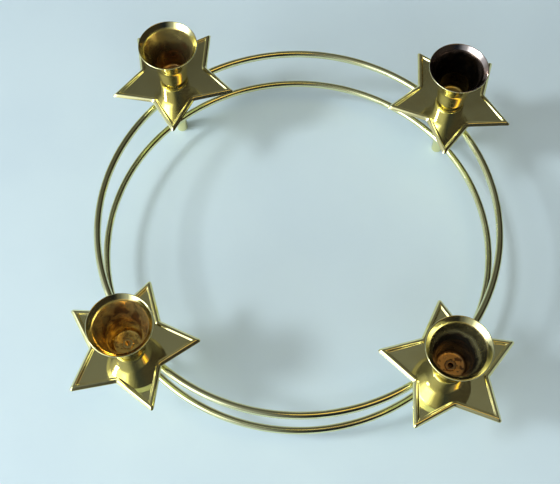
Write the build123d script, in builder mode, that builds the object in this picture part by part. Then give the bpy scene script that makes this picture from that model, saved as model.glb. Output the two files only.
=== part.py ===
"""Advent candle holder of brass wire and pressed sheet.

Two wire rings are brazed to the inner side of four posts. Each post carries a star-shaped
drip plate, a spacer and a flared candle cup, all held down by one hollow rivet.
Millimetres, +Z up. The origin is the centre of the rings, on the table.
"""

import os
from math import atan2, cos, radians, sin, tan

from build123d import *

os.makedirs("parts", exist_ok=True)

# Wire rings
ring_radius = 110.0  # to the middle of the wire
wire_diameter = 4.0
lower_ring_height = 18.0  # middle of the wire above the table
upper_ring_drop = 5.1  # middle of the upper wire below the stars

# Posts
post_diameter = 6.6
post_height = 54.0
foot_chamfer = 0.6
braze_depth = 0.3  # how far a wire beds into the post
braze_film = 0.05  # solder between the wire and its saddle

# Stars
star_points = 5
star_tip_radius = 37.8  # where the straight edges would meet
star_notch_radius = 20.5
star_tip_rounding = 1.2
star_notch_rounding = 0.8
star_sheet = 0.6
star_rim_rise = 0.9  # top of the raised rim above the plate
star_rim_outer = 1.4  # width of the rim's outer slope
star_rim_crest = 0.6  # width of the rim's top
star_rim_inner = 0.9  # width of the rim's inner slope
star_crease_rounding = 0.3  # tightest corner of the rim's inner lines
star_hollow_crest = 0.2  # width at the top of the hollow under the rim

# Spacers
spacer_diameter = 11.0
spacer_height = 1.8
spacer_edge = 0.3

# Cups, measured inside
cup_height = 29.0  # from the underside to the rim
cup_wall = 0.6
cup_floor_radius = 7.6
cup_floor_rounding = 2.2
cup_waist_radius = 8.6
cup_waist_height = 10.5  # above the floor, where the nearly straight foot begins to flare
cup_waist_rounding = 40.0
cup_mouth_radius = 13.6
cup_lip_width = 2.5  # how far the lip flares out from the mouth
cup_lip_depth = 3.1
cup_lip_rounding = 1.0
cup_rim_chamfer = 0.2

# Rivets
rivet_head_diameter = 6.0
rivet_head_height = 0.9
rivet_head_chamfer = 0.35
rivet_shank_diameter = 4.0
rivet_hole_diameter = 2.4
rivet_hole_depth = 3.0
rivet_grip = 6.0  # length of the shank inside the post
rivet_clearance = 0.05  # round the shank, in every hole that it passes
rivet_bore_spare = 1.0  # empty depth below the shank

# Where each post stands on the circle, and how far its star is turned from the radial line, in degrees
stations = {
    "front_left": (225.6, -0.4),
    "front_right": (315.9, -1.4),
    "back_right": (44.8, 4.4),
    "back_left": (133.8, -0.6),
}

# Heights and radii that follow from the sizes above
upper_ring_height = post_height - upper_ring_drop
ring_heights = {"lower_ring": lower_ring_height, "upper_ring": upper_ring_height}
post_circle_radius = ring_radius + (wire_diameter + post_diameter) / 2 - braze_depth
star_top = post_height + star_sheet
spacer_top = star_top + spacer_height
cup_floor_top = spacer_top + cup_wall
cup_rim_height = spacer_top + cup_height
hole_radius = rivet_shank_diameter / 2 + rivet_clearance

# Half of the corner angle at a tip and at a notch of the star
half_pitch = radians(180 / star_points)
tip_half_angle = atan2(
    star_notch_radius * sin(half_pitch), star_tip_radius - star_notch_radius * cos(half_pitch)
)
notch_half_angle = radians(180) - half_pitch - tip_half_angle


def star_outline(inset):
    """Draw the star's outline, moved in from the edge of the plate by inset."""
    corners = []
    roundings = []
    for corner in range(2 * star_points):
        at_tip = corner % 2 == 0
        if at_tip:
            radius = star_tip_radius - inset / sin(tip_half_angle)
            roundings.append(max(star_tip_rounding - inset, star_crease_rounding))
        else:
            radius = star_notch_radius - inset / sin(notch_half_angle)
            roundings.append(star_notch_rounding + inset)
        direction = corner * half_pitch
        corners.append((radius * cos(direction), radius * sin(direction)))
    FilletPolyline(*corners, radius=roundings, close=True)


def star_frustum(low_inset, low_height, high_inset, high_height):
    """Make the solid between two star outlines at two heights."""
    with BuildPart() as frustum:
        for inset, height in ((low_inset, low_height), (high_inset, high_height)):
            with BuildSketch(Plane.XY.offset(height)):
                with BuildLine():
                    star_outline(inset)
                make_face()
        loft(ruled=True)
    return frustum.part


# Post: a rod with a saddle for each wire and a bore for the rivet
with BuildPart() as post:
    with BuildSketch(Plane.XY):
        Circle(post_diameter / 2)
    extrude(amount=post_height)
    chamfer(post.edges().group_by(Axis.Z)[0], foot_chamfer)
    with Locations(*[(-post_circle_radius, 0, height) for height in ring_heights.values()]):
        Torus(ring_radius, wire_diameter / 2 + braze_film, mode=Mode.SUBTRACT)
    with Locations((0, 0, post_height)):
        Hole(hole_radius, depth=rivet_grip + rivet_bore_spare)

# Star: pressed sheet with a raised rim, hollow underneath where the press pushed it up
rim_top = star_top + star_rim_rise
crest_inset = star_rim_outer + star_rim_crest
rim_width = crest_inset + star_rim_inner
outer_slope = atan2(star_sheet + star_rim_rise, star_rim_outer)
inner_slope = atan2(star_rim_rise, star_rim_inner)
hollow_outer = star_sheet / sin(outer_slope)
hollow_inner = rim_width - star_sheet * tan(inner_slope / 2)
hollow_narrowing = 1 / tan(outer_slope) + 1 / tan(inner_slope)
hollow_depth = (hollow_inner - hollow_outer - star_hollow_crest) / hollow_narrowing
hollow_top = post_height + hollow_depth

with BuildPart() as hollow:
    add(
        star_frustum(
            hollow_outer, post_height, hollow_outer + hollow_depth / tan(outer_slope), hollow_top
        )
    )
    add(
        star_frustum(
            hollow_inner, post_height, hollow_inner - hollow_depth / tan(inner_slope), hollow_top
        ),
        mode=Mode.SUBTRACT,
    )

with BuildPart() as star:
    add(star_frustum(0, post_height, star_rim_outer, rim_top))
    add(star_frustum(rim_width, star_top, crest_inset, rim_top), mode=Mode.SUBTRACT)
    add(hollow.part, mode=Mode.SUBTRACT)
    with Locations((0, 0, star_top)):
        Hole(hole_radius)

# Spacer: a plain bush
with BuildPart() as spacer:
    with BuildSketch(Plane.XY.offset(star_top)):
        Circle(spacer_diameter / 2)
        Circle(hole_radius, mode=Mode.SUBTRACT)
    extrude(amount=spacer_height)
    rims = spacer.edges().filter_by(GeomType.CIRCLE).group_by(SortBy.RADIUS)[-1]
    chamfer(rims, spacer_edge)

# Cup: one line for the inside, thickened outwards and turned round the post's axis
with BuildPart() as cup:
    with BuildSketch(Plane.XZ):
        with BuildLine():
            FilletPolyline(
                (hole_radius, cup_floor_top),
                (cup_floor_radius, cup_floor_top),
                (cup_waist_radius, cup_floor_top + cup_waist_height),
                (cup_mouth_radius, cup_rim_height - cup_lip_depth),
                (cup_mouth_radius + cup_lip_width, cup_rim_height),
                radius=[cup_floor_rounding, cup_waist_rounding, cup_lip_rounding],
            )
            offset(amount=cup_wall, side=Side.RIGHT)
        make_face()
    revolve(axis=Axis.Z)
    rim_edges = cup.faces().sort_by(Axis.Z)[-1].edges().filter_by(GeomType.CIRCLE)
    chamfer(rim_edges, cup_rim_chamfer)

# Rivet: rolled head on the cup's floor, hollow at the top
with BuildPart() as rivet:
    with BuildSketch(Plane.XY.offset(cup_floor_top)):
        Circle(rivet_head_diameter / 2)
    extrude(amount=rivet_head_height)
    with BuildSketch(Plane.XY.offset(post_height - rivet_grip)):
        Circle(rivet_shank_diameter / 2)
    extrude(amount=cup_floor_top - post_height + rivet_grip)
    with Locations((0, 0, cup_floor_top + rivet_head_height)):
        Hole(rivet_hole_diameter / 2, depth=rivet_hole_depth)
    chamfer(rivet.edges().group_by(Axis.Z)[-1], rivet_head_chamfer)

# Rings
for name, height in ring_heights.items():
    with BuildPart() as ring:
        with Locations((0, 0, height)):
            Torus(ring_radius, wire_diameter / 2)
    ring.part.label = name
    export_step(ring.part, f"parts/{name}.step")

# One set of pieces on every post
pieces = {"post": post, "star": star, "spacer": spacer, "cup": cup, "rivet": rivet}
for station, (angle, turn) in stations.items():
    place = Vector(post_circle_radius, 0, 0).rotate(Axis.Z, angle)
    for kind, piece in pieces.items():
        heading = angle + turn if kind == "star" else angle
        with BuildPart() as placed:
            with Locations(Location(place, (0, 0, heading))):
                add(piece.part)
        placed.part.label = f"{station}_{kind}"
        export_step(placed.part, f"parts/{station}_{kind}.step")
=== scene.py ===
"""Looks of the advent candle holder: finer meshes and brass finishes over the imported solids.

Metres, +Z up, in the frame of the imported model.
"""

from math import atan2, cos, pi, radians, sin, tan

import bmesh
import bpy
from mathutils import Matrix, Vector, noise


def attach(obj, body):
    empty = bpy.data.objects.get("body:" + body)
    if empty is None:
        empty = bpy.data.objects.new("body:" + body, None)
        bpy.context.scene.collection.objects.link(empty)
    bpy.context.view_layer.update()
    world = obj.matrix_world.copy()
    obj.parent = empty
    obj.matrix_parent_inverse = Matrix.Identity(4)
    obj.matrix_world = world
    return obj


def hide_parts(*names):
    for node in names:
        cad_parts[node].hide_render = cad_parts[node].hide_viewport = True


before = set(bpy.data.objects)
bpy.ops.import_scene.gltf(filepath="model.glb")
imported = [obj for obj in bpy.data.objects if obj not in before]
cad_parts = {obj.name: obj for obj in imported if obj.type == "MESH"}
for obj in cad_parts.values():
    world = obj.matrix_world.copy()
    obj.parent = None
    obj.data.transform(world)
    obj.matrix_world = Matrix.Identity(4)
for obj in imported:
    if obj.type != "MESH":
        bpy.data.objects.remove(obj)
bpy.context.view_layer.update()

mm = 0.001

# Wire rings
ring_radius = 110.0 * mm  # to the middle of the wire
wire_radius = 2.0 * mm
ring_heights = {"lower_ring": 18.0 * mm, "upper_ring": 48.9 * mm}

# Posts
post_circle_radius = 115.0 * mm
post_radius = 3.3 * mm
post_height = 54.0 * mm
foot_chamfer = 0.6 * mm
foot_edge = 0.2 * mm

# Stars
star_points = 5
star_tip_radius = 37.8 * mm  # where the straight edges would meet
star_notch_radius = 20.5 * mm
star_tip_rounding = 1.2 * mm
star_notch_rounding = 0.8 * mm
star_crease_rounding = 0.3 * mm  # tightest corner of the rim's inner lines
star_sheet = 0.6 * mm
star_rim_rise = 0.9 * mm
star_rim_outer = 1.4 * mm  # width of the outer slope by which the hollow is shaped
star_rim_shoulder = 1.3 * mm  # width of the outer slope as seen from above
star_rim_crest = 1.0 * mm
star_rim_inner = 0.5 * mm
star_rim_margin = 0.5 * mm  # flat plate beside the rim
star_foot_rounding = 0.5 * mm
star_crest_rounding = 0.6 * mm
star_shoulder_rounding = 0.8 * mm
star_edge_rounding = 0.06 * mm
star_hollow_edge = 0.1 * mm
star_hollow_rounding = 0.15 * mm
star_wave = 0.05 * mm
star_wave_length = 13.0 * mm

# Spacers
spacer_radius = 5.5 * mm
spacer_height = 1.8 * mm
spacer_edge = 0.3 * mm

# Cups, measured inside
cup_height = 28.98 * mm  # from the underside to the rim
cup_wall = 0.6 * mm
cup_floor_radius = 7.6 * mm
cup_floor_rounding = 1.4 * mm
cup_base_rounding = 1.6 * mm  # outside, below the floor
cup_waist_radius = 8.9 * mm
cup_waist_height = 13.0 * mm  # above the floor
cup_waist_rounding = 20.0 * mm
cup_mouth_radius = 13.6 * mm
cup_lip_width = 2.5 * mm
cup_lip_depth = 3.1 * mm
cup_lip_rounding = 5.0 * mm
cup_rim_rounding = 0.298 * mm
cup_hole_edge = 0.05 * mm

# Rivets
rivet_head_radius = 3.0 * mm
rivet_head_height = 0.9 * mm
rivet_head_rounding = 0.4 * mm
rivet_shank_radius = 2.0 * mm
rivet_hole_radius = 1.2 * mm
rivet_hole_depth = 3.0 * mm
rivet_grip = 6.0 * mm  # length of the shank inside the post
hole_radius = 2.05 * mm  # of every hole that the shank passes

# Small edges of the turned pieces, and the hair-thin hole on their axis
sharp_edge = 0.1 * mm
axis_edge = 0.01 * mm
axis_gap = 0.02 * mm

# Where each post stands on the circle, and how far its star is turned from the radial line, in degrees
stations = {
    "front_left": (225.6, -0.4),
    "front_right": (315.9, -1.4),
    "back_right": (44.8, 4.4),
    "back_left": (133.8, -0.6),
}

# How finely the meshes are divided: along arcs, along straight runs, and round an axis
ring_segments = 480
wire_segments = 28
cup_segments = 128
turned_segments = 48
star_arc_steps = 6
star_run_steps = 14
star_section_arc_steps = 5
star_plate_loops = 22
star_first_loop = 0.16  # size of the plate's innermost loop, as a share of its outermost
cup_arc_steps = 7
cup_run_steps = 6
rivet_arc_steps = 6
rivet_run_steps = 2
spacer_arc_steps = 4
spacer_run_steps = 2
post_arc_steps = 3
post_run_steps = 4

# Heights that follow from the sizes
star_top = post_height + star_sheet
rim_top = star_top + star_rim_rise
spacer_top = star_top + spacer_height
cup_floor_top = spacer_top + cup_wall
cup_rim_height = spacer_top + cup_height
rivet_top = cup_floor_top + rivet_head_height
rivet_hole_bottom = rivet_top - rivet_hole_depth
rivet_bottom = post_height - rivet_grip

# Half of the corner angle at a tip and at a notch of the star
half_pitch = radians(180 / star_points)
tip_half_angle = atan2(
    star_notch_radius * sin(half_pitch), star_tip_radius - star_notch_radius * cos(half_pitch)
)
notch_half_angle = pi - half_pitch - tip_half_angle


def round_corners(corners, radii, arc_steps, run_steps, closed):
    """Replace the corners of a flat line by arcs, and divide the straight runs between them."""
    count = len(corners)
    arcs = []
    for index, corner in enumerate(corners):
        if not closed and index in (0, count - 1):
            arcs.append([corner])
            continue
        before = (corners[index - 1] - corner).normalized()
        after = (corners[(index + 1) % count] - corner).normalized()
        half = before.angle(after) / 2
        sweep = pi - 2 * half
        centre = corner + (before + after).normalized() * radii[index] / sin(half)
        first = corner + before * radii[index] / tan(half) - centre
        last = corner + after * radii[index] / tan(half) - centre
        arc = []
        for step in range(arc_steps + 1):
            share = step / arc_steps
            spoke = first * sin((1 - share) * sweep) + last * sin(share * sweep)
            arc.append(centre + spoke / sin(sweep))
        arcs.append(arc)
    line = []
    for index, arc in enumerate(arcs):
        line.extend(arc)
        if closed or index < count - 1:
            end = arcs[(index + 1) % count][0]
            for step in range(1, run_steps):
                line.append(arc[-1].lerp(end, step / run_steps))
    return line


def turned_profile(corners, arc_steps, run_steps):
    """Closed profile of a turned piece, from the radius, height and rounding of each corner."""
    points = [Vector(corner[:2]) for corner in corners]
    radii = [corner[2] for corner in corners]
    return round_corners(points, radii, arc_steps, run_steps, True)


def move_line(points, distance):
    """Move an open line of points to its right by distance."""
    sides = []
    for start, end in zip(points, points[1:]):
        along = (end - start).normalized()
        sides.append(Vector((along.y, -along.x)) * distance)
    moved = [points[0] + sides[0]]
    for corner, before, after in zip(points[1:], sides, sides[1:]):
        middle = (before + after).normalized()
        moved.append(corner + middle * distance / middle.dot(before / distance))
    moved.append(points[-1] + sides[-1])
    return moved


def grid_piece(name, rows, materials, row_materials=None):
    """Make a smooth closed mesh from a loop of rows, each a loop of points, with its faces outward."""
    points = []
    for row in rows:
        points.extend(row)
    width = len(rows[0])
    faces = []
    face_materials = []
    for band in range(len(rows)):
        after = (band + 1) % len(rows)
        for column in range(width):
            beside = (column + 1) % width
            faces.append(
                (
                    band * width + column,
                    band * width + beside,
                    after * width + beside,
                    after * width + column,
                )
            )
            face_materials.append(row_materials[band] if row_materials else 0)
    mesh = bpy.data.meshes.new(name)
    mesh.from_pydata(points, [], faces)
    for material in materials:
        mesh.materials.append(material)
    mesh.polygons.foreach_set("material_index", face_materials)
    shell = bmesh.new()
    shell.from_mesh(mesh)
    if shell.calc_volume(signed=True) < 0:
        mesh.flip_normals()
    shell.free()
    mesh.shade_smooth()
    piece = bpy.data.objects.new(name, mesh)
    bpy.context.scene.collection.objects.link(piece)
    return piece


def lathe(name, profile, centre, segments, materials, row_materials=None):
    """Turn a closed line of (radius, height) points round a vertical axis."""
    rows = []
    for point in profile:
        row = []
        for segment in range(segments):
            turn = 2 * pi * segment / segments
            row.append((centre.x + point.x * cos(turn), centre.y + point.x * sin(turn), point.y))
        rows.append(row)
    return grid_piece(name, rows, materials, row_materials)


def stand_for(piece, node):
    """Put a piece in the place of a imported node."""
    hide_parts(node)
    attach(piece, "root")


class Nodes:
    """A node tree, with short calls for the nodes that the finishes and the room share."""

    def __init__(self, owner, place):
        owner.use_nodes = True
        self.owner = owner
        self.tree = owner.node_tree
        self.place = self.tree.nodes.new("ShaderNodeTexCoord").outputs[place]

    def put(self, source, socket):
        """Link an output to a socket, or set the socket to a plain value."""
        if isinstance(source, bpy.types.NodeSocket):
            self.tree.links.new(source, socket)
        else:
            socket.default_value = source

    def noise(self, scale, detail=2.0, stretch=(1, 1, 1), turn=(0, 0, 0), distortion=0.0):
        """Cloudy noise, of so many cells to the metre."""
        mapping = self.tree.nodes.new("ShaderNodeMapping")
        mapping.inputs["Scale"].default_value = stretch
        mapping.inputs["Rotation"].default_value = turn
        texture = self.tree.nodes.new("ShaderNodeTexNoise")
        texture.inputs["Scale"].default_value = scale
        texture.inputs["Detail"].default_value = detail
        texture.inputs["Distortion"].default_value = distortion
        self.put(self.place, mapping.inputs["Vector"])
        self.put(mapping.outputs["Vector"], texture.inputs["Vector"])
        return texture.outputs["Fac"]

    def lines(self, value, scale, detail=2.0):
        """Noise along one value only, which makes rings or bands."""
        texture = self.tree.nodes.new("ShaderNodeTexNoise")
        texture.noise_dimensions = "1D"
        texture.inputs["Scale"].default_value = scale
        texture.inputs["Detail"].default_value = detail
        self.put(value, texture.inputs["W"])
        return texture.outputs["Fac"]

    def spread(self, value, low, high, to_low=0.0, to_high=1.0):
        """Map a value from low..high to to_low..to_high, smoothly and clamped."""
        node = self.tree.nodes.new("ShaderNodeMapRange")
        node.interpolation_type = "SMOOTHSTEP"
        self.put(value, node.inputs["Value"])
        node.inputs["From Min"].default_value = low
        node.inputs["From Max"].default_value = high
        node.inputs["To Min"].default_value = to_low
        node.inputs["To Max"].default_value = to_high
        return node.outputs["Result"]

    def math(self, operation, first, second):
        """Join two values by an operation."""
        node = self.tree.nodes.new("ShaderNodeMath")
        node.operation = operation
        self.put(first, node.inputs[0])
        self.put(second, node.inputs[1])
        return node.outputs[0]

    def mix(self, share, first, second):
        """Mix two colours."""
        node = self.tree.nodes.new("ShaderNodeMix")
        node.data_type = "RGBA"
        self.put(share, node.inputs[0])
        self.put(first, node.inputs[6])
        self.put(second, node.inputs[7])
        return node.outputs[2]

    def along(self, direction):
        """How far a point lies in a direction."""
        node = self.tree.nodes.new("ShaderNodeVectorMath")
        node.operation = "DOT_PRODUCT"
        self.put(self.place, node.inputs[0])
        node.inputs[1].default_value = direction
        return node.outputs["Value"]

    def height(self):
        """Height of a point."""
        node = self.tree.nodes.new("ShaderNodeSeparateXYZ")
        self.put(self.place, node.inputs[0])
        return node.outputs["Z"]

    def from_axis(self, centre):
        """Distance from a vertical axis."""
        flat = self.tree.nodes.new("ShaderNodeVectorMath")
        flat.operation = "MULTIPLY"
        flat.inputs[1].default_value = (1, 1, 0)
        self.put(self.place, flat.inputs[0])
        away = self.tree.nodes.new("ShaderNodeVectorMath")
        away.operation = "DISTANCE"
        self.put(flat.outputs["Vector"], away.inputs[0])
        away.inputs[1].default_value = (centre.x, centre.y, 0)
        return away.outputs["Value"]

    def bump(self, height, distance):
        """Normals of a surface raised by a value of 0 to 1 times a distance."""
        node = self.tree.nodes.new("ShaderNodeBump")
        node.inputs["Distance"].default_value = distance
        self.put(height, node.inputs["Height"])
        return node.outputs["Normal"]


class Finish(Nodes):
    """A material of one principled shader."""

    def __init__(self, name):
        super().__init__(bpy.data.materials.new(name), "Object")
        self.material = self.owner
        self.shader = self.tree.nodes["Principled BSDF"]


# Noise scales of the finishes, in cells to the metre, and the depths of their relief
patch_scale = 55
speck_scale = 520
wear_scale = 700
hairline_scale = 900
cloud_scale = 150
blotch_scale = 190
floor_speck_scale = 480
spun_ring_scale = 900
hairline_depth = 0.004 * mm
spun_ring_depth = 0.02 * mm

# Colours that most of the brass shares
polished = (0.87, 0.80, 0.41, 1)
mellow = (0.80, 0.70, 0.32, 1)
brown = (0.20, 0.12, 0.045, 1)


def brass(name, smooth=0.07, dull=0.2, spots=0.3, stretch=(1, 1, 1), clear=polished, aged=mellow, haze=0.0):
    """Polished brass with mellow patches, small dark specks and fine wear.

    Smooth and dull are the least and greatest roughness between the specks, spots is how dark the specks
    are, stretch is the grain of the wear, and haze is how far a film hides the metal.
    """
    finish = Finish(name)
    patches = finish.spread(finish.noise(patch_scale, 4), 0.42, 0.72)
    specks = finish.spread(finish.noise(speck_scale, 3), 0.70, 0.80, 0.0, spots)
    colour = finish.mix(patches, clear, aged)
    colour = finish.mix(specks, colour, brown)
    wear = finish.noise(wear_scale, 2, stretch=stretch)
    rough = finish.spread(wear, 0.45, 0.70, smooth, dull)
    rough = finish.math("ADD", rough, finish.math("MULTIPLY", specks, 0.3))
    hairlines = finish.noise(hairline_scale, 1, stretch=(1, 0.05, 0.05), turn=(0, 0, 0.6))
    finish.put(colour, finish.shader.inputs["Base Color"])
    finish.put(rough, finish.shader.inputs["Roughness"])
    finish.put(finish.bump(hairlines, hairline_depth), finish.shader.inputs["Normal"])
    finish.shader.inputs["Metallic"].default_value = 1.0 - haze
    return finish.material


def cup_inside(
    name, centre, wall, haze, tarnish, soot, clean_depth, clean_side, lean, blotches,
    floor, floor_soot, stain, stain_share, smooth,
):
    """Inside of a cup: spun rings, a wall tarnished from below and a floor with stained specks and a darker
    edge.

    The wall is clean down to clean_depth below the mouth, and further down on its clean_side, an angle, by
    lean times the distance from the axis. Haze, soot and floor_soot are how far a film hides the metal of the
    clean wall, the tarnished wall and the floor. Blotches is how strong the stains in the tarnish are, and
    stain_share how strong the specks on the floor and the darker band along its edge are.
    """
    finish = Finish(name)
    height = finish.height()
    away = finish.from_axis(centre)

    # The tarnish ends in a cloudy line, from 2 mm above to 4 mm below its level
    cloud = finish.noise(cloud_scale, 5, distortion=0.6)
    cloud_reach = 6 * mm
    facing = Vector((cos(radians(clean_side)), sin(radians(clean_side)), 0))
    sideways = finish.math("SUBTRACT", finish.along(facing), facing.dot(centre))
    level = finish.math("ADD", height, finish.math("MULTIPLY", cloud, cloud_reach))
    level = finish.math("ADD", level, finish.math("MULTIPLY", sideways, lean))
    dark_level = cup_rim_height - cup_lip_depth - clean_depth + cloud_reach / 2
    dark = finish.spread(level, dark_level + 2 * mm, dark_level - 4 * mm)
    blotched = finish.spread(finish.noise(blotch_scale, 5, distortion=0.5), 0.46, 0.60, 0.0, blotches)
    colour = finish.mix(dark, wall, tarnish)
    colour = finish.mix(finish.math("MULTIPLY", blotched, dark), colour, stain)

    # The floor is stained in specks, and darker in a band along its edge
    on_floor = finish.spread(height, cup_floor_top + 1.2 * mm, cup_floor_top + 0.2 * mm)
    specks = finish.spread(finish.noise(floor_speck_scale, 4), 0.51, 0.60, 0.0, stain_share)
    # Band along the floor's edge, darkened in the stain colour
    edge = finish.spread(away, cup_floor_radius - 1.0 * mm, cup_floor_radius - 0.2 * mm, 0.0, stain_share)
    specks_and_dark_edge = finish.math("MULTIPLY", finish.math("MAXIMUM", specks, edge), on_floor)
    colour = finish.mix(on_floor, colour, floor)
    colour = finish.mix(specks_and_dark_edge, colour, stain)

    rings = finish.lines(finish.math("ADD", height, away), spun_ring_scale, 3)
    rough = finish.spread(cloud, 0.35, 0.7, smooth, smooth + 0.16)
    rough = finish.math("ADD", rough, finish.math("MULTIPLY", on_floor, 0.12))
    bare = finish.math("SUBTRACT", 1.0, finish.math("MAXIMUM", dark, on_floor))
    covered = finish.math("MULTIPLY", dark, soot)
    covered = finish.math("MAXIMUM", covered, finish.math("MULTIPLY", on_floor, floor_soot))
    covered = finish.math("ADD", covered, finish.math("MULTIPLY", bare, haze))
    finish.put(colour, finish.shader.inputs["Base Color"])
    finish.put(rough, finish.shader.inputs["Roughness"])
    finish.put(finish.math("SUBTRACT", 1.0, covered), finish.shader.inputs["Metallic"])
    finish.put(finish.bump(rings, spun_ring_depth), finish.shader.inputs["Normal"])
    return finish.material


# Finishes
wire_brass = brass(
    "wire_brass", smooth=0.04, dull=0.12, clear=(0.84, 0.82, 0.48, 1), aged=(0.76, 0.71, 0.36, 1)
)
rod_brass = brass("rod_brass", smooth=0.08, dull=0.2, stretch=(1, 1, 0.1))
plate_brass = brass("plate_brass", smooth=0.03, dull=0.09, spots=0.2, haze=0.035)
bush_brass = brass("bush_brass", smooth=0.12, dull=0.3)
cup_brass = brass("cup_brass", smooth=0.06, dull=0.16, stretch=(0.2, 0.2, 3))
stained_lip = brass(
    "stained_lip", smooth=0.08, dull=0.2, clear=(0.68, 0.58, 0.54, 1), aged=(0.32, 0.19, 0.10, 1)
)
bright_rivet = brass(
    "bright_rivet", smooth=0.10, dull=0.25, spots=0.5, clear=(0.82, 0.60, 0.22, 1), aged=(0.62, 0.40, 0.14, 1)
)
brown_rivet = brass(
    "brown_rivet", smooth=0.15, dull=0.35, spots=0.7, clear=(0.42, 0.24, 0.10, 1), aged=brown
)
# Near-black brass for three of the rivet holes: painted shade inside the holes
sooty_hole = brass(
    "sooty_hole", smooth=0.3, dull=0.5, clear=(0.10, 0.05, 0.025, 1), aged=(0.04, 0.02, 0.01, 1)
)

# Each cup's lip, and each rivet's head and hole
lip_finishes = {
    "front_left": cup_brass,
    "front_right": cup_brass,
    "back_right": stained_lip,
    "back_left": cup_brass,
}
# Three of the holes get the near-black brass, a painted shade in the hole
rivet_finishes = {
    "front_left": [bright_rivet, bright_rivet],
    "front_right": [brown_rivet, sooty_hole],
    "back_right": [bright_rivet, sooty_hole],
    "back_left": [bright_rivet, sooty_hole],
}

# Each cup's inside
inside_finishes = {
    # Golden all through, with brown blotches
    "front_left": dict(
        wall=(0.94, 0.82, 0.38, 1),
        haze=0.1,
        tarnish=(0.76, 0.54, 0.19, 1),
        soot=0.15,
        clean_depth=4 * mm,
        clean_side=215,
        lean=0.5,
        blotches=0.85,
        floor=(0.88, 0.68, 0.22, 1),
        floor_soot=0.15,
        stain=(0.20, 0.10, 0.04, 1),
        stain_share=0.6,
        smooth=0.08,
    ),
    # Golden at the mouth and black below, with a stained orange floor
    "front_right": dict(
        wall=(0.92, 0.82, 0.40, 1),
        haze=0.02,
        tarnish=(0.030, 0.026, 0.019, 1),
        soot=0.5,
        clean_depth=4 * mm,
        clean_side=40,
        lean=0.2,
        blotches=0.2,
        floor=(0.92, 0.52, 0.18, 1),
        floor_soot=0.5,
        stain=(0.10, 0.04, 0.02, 1),
        stain_share=0.85,
        smooth=0.14,
    ),
    # Brown at the mouth and black below, with a golden floor
    "back_right": dict(
        wall=(0.23, 0.165, 0.125, 1),
        haze=0.0,
        tarnish=(0.005, 0.004, 0.003, 1),
        soot=0.3,
        clean_depth=2 * mm,
        clean_side=260,
        lean=0.3,
        blotches=0.04,
        floor=(1.0, 0.78, 0.25, 1),
        floor_soot=0.3,
        stain=(0.25, 0.14, 0.05, 1),
        stain_share=0.05,
        smooth=0.14,
    ),
    # Golden at the mouth and brown below, with an orange floor
    "back_left": dict(
        wall=(0.95, 0.83, 0.34, 1),
        haze=0.10,
        tarnish=(0.20, 0.14, 0.055, 1),
        soot=0.25,
        clean_depth=4 * mm,
        clean_side=140,
        lean=0.25,
        blotches=0.6,
        floor=(1.0, 0.64, 0.26, 1),
        floor_soot=0.2,
        stain=(0.22, 0.09, 0.04, 1),
        stain_share=0.35,
        smooth=0.12,
    ),
}


def star_outline(inset):
    """The star's outline, moved in from the edge of the plate by inset."""
    corners = []
    radii = []
    for corner in range(2 * star_points):
        at_tip = corner % 2 == 0
        if at_tip:
            radius = star_tip_radius - inset / sin(tip_half_angle)
            radii.append(max(star_tip_rounding - inset, star_crease_rounding))
        else:
            radius = star_notch_radius - inset / sin(notch_half_angle)
            radii.append(star_notch_rounding + inset)
        direction = corner * half_pitch
        corners.append(Vector((radius * cos(direction), radius * sin(direction))))
    return round_corners(corners, radii, star_arc_steps, star_run_steps, True)


def star_rows():
    """Loops of a star about its own centre, from the hole along the top, over the rim and back underneath."""
    crest_inset = star_rim_outer + star_rim_crest
    rim_width = crest_inset + star_rim_inner
    outer_slope = atan2(star_sheet + star_rim_rise, star_rim_outer)
    inner_slope = atan2(star_rim_rise, star_rim_inner)
    hollow_outer = star_sheet / sin(outer_slope)
    hollow_inner = rim_width - star_sheet * tan(inner_slope / 2)
    hollow_depth = (hollow_inner - hollow_outer) / (1 / tan(outer_slope) + 1 / tan(inner_slope))
    hollow_top = post_height + hollow_depth
    hollow_middle = hollow_outer + hollow_depth / tan(outer_slope)
    plate_inset = rim_width + star_rim_margin
    section = [
        (plate_inset, star_top, 0),
        (rim_width, star_top, star_foot_rounding),
        (crest_inset, rim_top, star_crest_rounding),
        (star_rim_shoulder, rim_top, star_shoulder_rounding),
        (0.0, post_height, star_edge_rounding),
        (hollow_outer, post_height, star_hollow_edge),
        (hollow_middle, hollow_top, star_hollow_rounding),
        (hollow_inner, post_height, star_hollow_rounding),
        (plate_inset, post_height, 0),
    ]
    corners = [Vector(corner[:2]) for corner in section]
    radii = [corner[2] for corner in section]
    plate = star_outline(plate_inset)
    hole = [point.normalized() * hole_radius for point in plate]
    shares = []
    for loop in range(star_plate_loops):
        shares.append(star_first_loop + (1 - star_first_loop) * loop / star_plate_loops)
    rows = [[(*point, star_top) for point in hole]]
    for share in shares:
        rows.append([(*(point * share), star_top) for point in plate])
    for inset, level in round_corners(corners, radii, star_section_arc_steps, 1, False):
        rows.append([(*point, level) for point in star_outline(inset)])
    for share in reversed(shares):
        rows.append([(*(point * share), post_height) for point in plate])
    rows.append([(*point, post_height) for point in hole])
    return rows


# Forms of the pieces on a post
star_loops = star_rows()

cup_inner = [
    Vector((hole_radius, cup_floor_top)),
    Vector((cup_floor_radius, cup_floor_top)),
    Vector((cup_waist_radius, cup_floor_top + cup_waist_height)),
    Vector((cup_mouth_radius, cup_rim_height - cup_lip_depth)),
    Vector((cup_mouth_radius + cup_lip_width, cup_rim_height)),
]
cup_outer = move_line(cup_inner, cup_wall)
cup_radii = [
    cup_hole_edge,
    cup_floor_rounding,
    cup_waist_rounding,
    cup_lip_rounding,
    cup_rim_rounding,
    cup_rim_rounding,
    cup_lip_rounding - cup_wall,
    cup_waist_rounding - cup_wall,
    cup_base_rounding,
    cup_hole_edge,
]
cup_profile = round_corners(cup_inner + cup_outer[::-1], cup_radii, cup_arc_steps, cup_run_steps, True)

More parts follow.
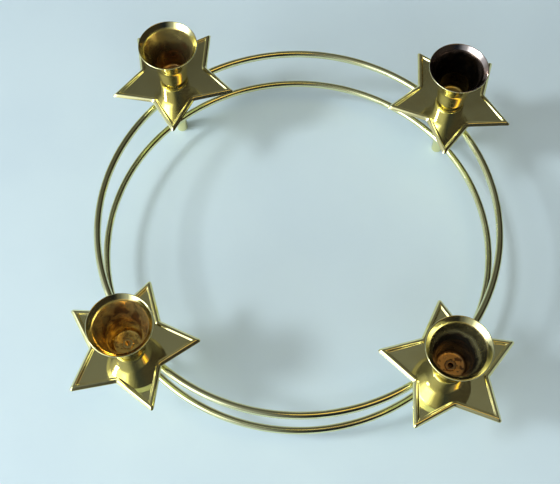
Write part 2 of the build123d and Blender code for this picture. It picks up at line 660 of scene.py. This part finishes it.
# The profile runs from the hole up the inside, which ends with the bend at the mouth, and over the lip
inside_bands = 4 * (cup_arc_steps + cup_run_steps) - cup_run_steps
lip_bands = cup_run_steps + cup_arc_steps
cup_bands = [0] * len(cup_profile)
cup_bands[:inside_bands] = [1] * inside_bands
cup_bands[inside_bands : inside_bands + lip_bands] = [2] * lip_bands

rivet_profile = turned_profile(
    [
        (axis_gap, rivet_hole_bottom, axis_edge),
        (rivet_hole_radius, rivet_hole_bottom, sharp_edge),
        (rivet_hole_radius, rivet_top, rivet_head_rounding),
        (rivet_head_radius, rivet_top, rivet_head_rounding),
        (rivet_head_radius, cup_floor_top, sharp_edge),
        (rivet_shank_radius, cup_floor_top, sharp_edge),
        (rivet_shank_radius, rivet_bottom, sharp_edge),
        (axis_gap, rivet_bottom, axis_edge),
    ],
    rivet_arc_steps,
    rivet_run_steps,
)

# The first two corners and runs of the profile are the hole
hole_bands = 2 * (rivet_arc_steps + rivet_run_steps)
rivet_bands = [0] * len(rivet_profile)
rivet_bands[:hole_bands] = [1] * hole_bands

spacer_profile = turned_profile(
    [
        (hole_radius, star_top, sharp_edge),
        (spacer_radius, star_top, spacer_edge),
        (spacer_radius, spacer_top, spacer_edge),
        (hole_radius, spacer_top, sharp_edge),
    ],
    spacer_arc_steps,
    spacer_run_steps,
)

post_profile = turned_profile(
    [
        (axis_gap, 0, axis_edge),
        (post_radius - foot_chamfer, 0, foot_edge),
        (post_radius, foot_chamfer, foot_edge),
        (post_radius, post_height, sharp_edge),
        (hole_radius, post_height, sharp_edge),
        (hole_radius, rivet_bottom, sharp_edge),
        (axis_gap, rivet_bottom, axis_edge),
    ],
    post_arc_steps,
    post_run_steps,
)

# Rings
for node, ring_height in ring_heights.items():
    rows = []
    for segment in range(ring_segments):
        turn = 2 * pi * segment / ring_segments
        row = []
        for side in range(wire_segments):
            tilt = 2 * pi * side / wire_segments
            reach = ring_radius + wire_radius * cos(tilt)
            row.append((reach * cos(turn), reach * sin(turn), ring_height + wire_radius * sin(tilt)))
        rows.append(row)
    ring = grid_piece(f"{node}_visual", rows, [wire_brass])
    stand_for(ring, node)

# One set of pieces on every post
for station, (angle, turn) in stations.items():
    place = Vector((post_circle_radius * cos(radians(angle)), post_circle_radius * sin(radians(angle)), 0))
    heading = Matrix.Rotation(radians(angle + turn), 3, "Z")

    post = lathe(f"{station}_post_visual", post_profile, place, turned_segments, [rod_brass])
    stand_for(post, f"{station}_post")

    rows = []
    for loop in star_loops:
        row = []
        for point in loop:
            spot = place + heading @ Vector(point)
            lift = star_wave * noise.noise(Vector((spot.x, spot.y, 0)) / star_wave_length)
            row.append(spot + Vector((0, 0, lift)))
        rows.append(row)
    star = grid_piece(f"{station}_star_visual", rows, [plate_brass])
    stand_for(star, f"{station}_star")

    spacer = lathe(f"{station}_spacer_visual", spacer_profile, place, turned_segments, [bush_brass])
    stand_for(spacer, f"{station}_spacer")

    inside = cup_inside(f"{station}_cup_inside", place, **inside_finishes[station])
    cup_finishes = [cup_brass, inside, lip_finishes[station]]
    cup = lathe(f"{station}_cup_visual", cup_profile, place, cup_segments, cup_finishes, cup_bands)
    stand_for(cup, f"{station}_cup")

    rivet = lathe(
        f"{station}_rivet_visual", rivet_profile, place, turned_segments, rivet_finishes[station], rivet_bands
    )
    stand_for(rivet, f"{station}_rivet")

# Floor
floor_reach = 15.0
floor_cloud_scale = 14
floor_mesh = bpy.data.meshes.new("floor")
floor_mesh.from_pydata(
    [
        (-floor_reach, -floor_reach, 0),
        (floor_reach, -floor_reach, 0),
        (floor_reach, floor_reach, 0),
        (-floor_reach, floor_reach, 0),
    ],
    [],
    [(0, 1, 2, 3)],
)
floor = bpy.data.objects.new("floor", floor_mesh)
bpy.context.scene.collection.objects.link(floor)
paint = Finish("floor_paint")
shade = paint.spread(paint.noise(floor_cloud_scale, 4), 0.3, 0.7)
paint.put(paint.mix(shade, (0.74, 0.89, 0.97, 1), (0.77, 0.92, 0.99, 1)), paint.shader.inputs["Base Color"])
paint.shader.inputs["Roughness"].default_value = 0.55
floor_mesh.materials.append(paint.material)


def soft_light(name, place, width, height, energy, colour, mirrored=True):
    """A rectangular lamp that faces the object. Polished metal shows it where mirrored is true."""
    aim = Vector((0, 0, 0.05))
    lamp = bpy.data.lights.new(name, "AREA")
    lamp.shape = "RECTANGLE"
    lamp.size = width
    lamp.size_y = height
    lamp.energy = energy
    lamp.color = colour
    lamp_object = bpy.data.objects.new(name, lamp)
    lamp_object.location = place
    lamp_object.rotation_euler = (aim - place).to_track_quat("-Z", "Y").to_euler()
    lamp_object.visible_camera = False
    lamp_object.visible_glossy = mirrored
    bpy.context.scene.collection.objects.link(lamp_object)


# Light: a wide window at the left, in layers so that its mirrored edges are soft, a bright pane higher up,
# a dim warm lamp overhead, and a fill from the front that the metal doesn't show
daylight = (0.89, 0.965, 1.0)
lamplight = (1.0, 0.45, 0.03)
lamp_core = (1.0, 0.80, 0.03)
window_place = Vector((-1.32, -0.94, 0.60))
window_width = 1.4
window_height = 1.1
window_layers = (0.6, 0.9, 1.2, 1.5)  # size of each layer, as a share of the width and height
layer_spacing = 0.01  # as a share of the window's distance
layer_power = 6.3  # watts
for layer, share in enumerate(window_layers):
    layer_place = window_place * (1 + layer_spacing * layer)
    layer_width = window_width * share
    layer_height = window_height * share
    soft_light(f"window_{layer}", layer_place, layer_width, layer_height, layer_power, daylight)
soft_light("window_top", Vector((-1.75, -0.50, 1.86)), 0.40, 0.40, 21.0, daylight)
soft_light("wall_lamp", Vector((0.35, -0.09, 1.40)), 0.45, 0.80, 0.6, lamplight)
soft_light("wall_lamp_core", Vector((0.35, -0.09, 1.38)), 0.18, 0.80, 0.5, lamp_core)
soft_light("front_fill", Vector((0.15, -0.95, 0.95)), 0.80, 0.50, 2.6, daylight, mirrored=False)

# Room that the metal mirrors: colours laid over each other, from the walls to the window's glow
furniture_scale = 2.2
room = Nodes(bpy.data.worlds.new("room"), "Generated")
bpy.context.scene.world = room.owner
how_high = room.along((0, 0, 1))
how_far_back = room.along((0, 1, 0))

# Dark front wall, with furniture low down at the left
furniture = room.spread(room.noise(furniture_scale, 3), 0.42, 0.62)
furniture = room.math("MULTIPLY", furniture, room.spread(room.along((-1, 0, 0)), -0.25, 0.0))
front_wall = room.mix(furniture, (0.012, 0.015, 0.020, 1), (0.13, 0.12, 0.095, 1))
front_wall = room.mix(room.spread(how_high, 0.36, 0.52), front_wall, (0.014, 0.022, 0.040, 1))

# Far wall that is paler low down, dim right side, and a ceiling that is brighter towards the front
far_wall = room.mix(room.spread(how_high, 0.25, 0.60), (0.30, 0.31, 0.29, 1), (0.07, 0.072, 0.066, 1))
light = room.mix(room.spread(how_far_back, -0.5, 0.3), front_wall, far_wall)
light = room.mix(room.spread(room.along((0.97, 0, -0.2)), 0.10, 0.55), light, (0.032, 0.027, 0.021, 1))
ceiling = room.mix(room.spread(how_far_back, -0.2, 0.3), (0.25, 0.258, 0.265, 1), (0.145, 0.153, 0.14, 1))
light = room.mix(room.spread(how_high, 0.76, 0.97), light, ceiling)

# Dark patch over the front, bright left side and the window's glow
light = room.mix(room.spread(room.along((0.02, -0.47, 0.88)), 0.92, 0.985), light, (0.030, 0.034, 0.036, 1))
light = room.mix(room.spread(room.along((-0.84, -0.46, 0.28)), 0.35, 0.80), light, (0.32, 0.36, 0.38, 1))
light = room.mix(room.spread(room.along((-0.81, -0.44, 0.39)), 0.55, 0.95), light, (0.60, 0.65, 0.69, 1))
room.put(light, room.tree.nodes["Background"].inputs["Color"])

# Camera, fitted to the photograph, with its focal length in pixels of an image 560 wide
camera_place = (11.5 * mm, -231.1 * mm, 511.5 * mm)
yaw = radians(5.36)
rise = radians(64.872)
roll = radians(-0.524)
focal_pixels = 941.53
image_width = 560
sensor_width = 36.0
back = Vector((sin(yaw) * cos(rise), -cos(yaw) * cos(rise), sin(rise)))
level = Vector((cos(yaw), sin(yaw), 0))
upward = back.cross(level)
right = level * cos(roll) + upward * sin(roll)
up = upward * cos(roll) - level * sin(roll)
camera = bpy.data.cameras.new("camera")
camera.sensor_fit = "HORIZONTAL"
camera.sensor_width = sensor_width
camera.lens = sensor_width * focal_pixels / image_width
camera.clip_start = 0.01
camera_object = bpy.data.objects.new("camera", camera)
turned = Matrix((right, up, back)).transposed().to_4x4()
camera_object.matrix_world = Matrix.Translation(camera_place) @ turned
bpy.context.scene.collection.objects.link(camera_object)
bpy.context.scene.camera = camera_object

bpy.context.scene.view_settings.view_transform = "Standard"
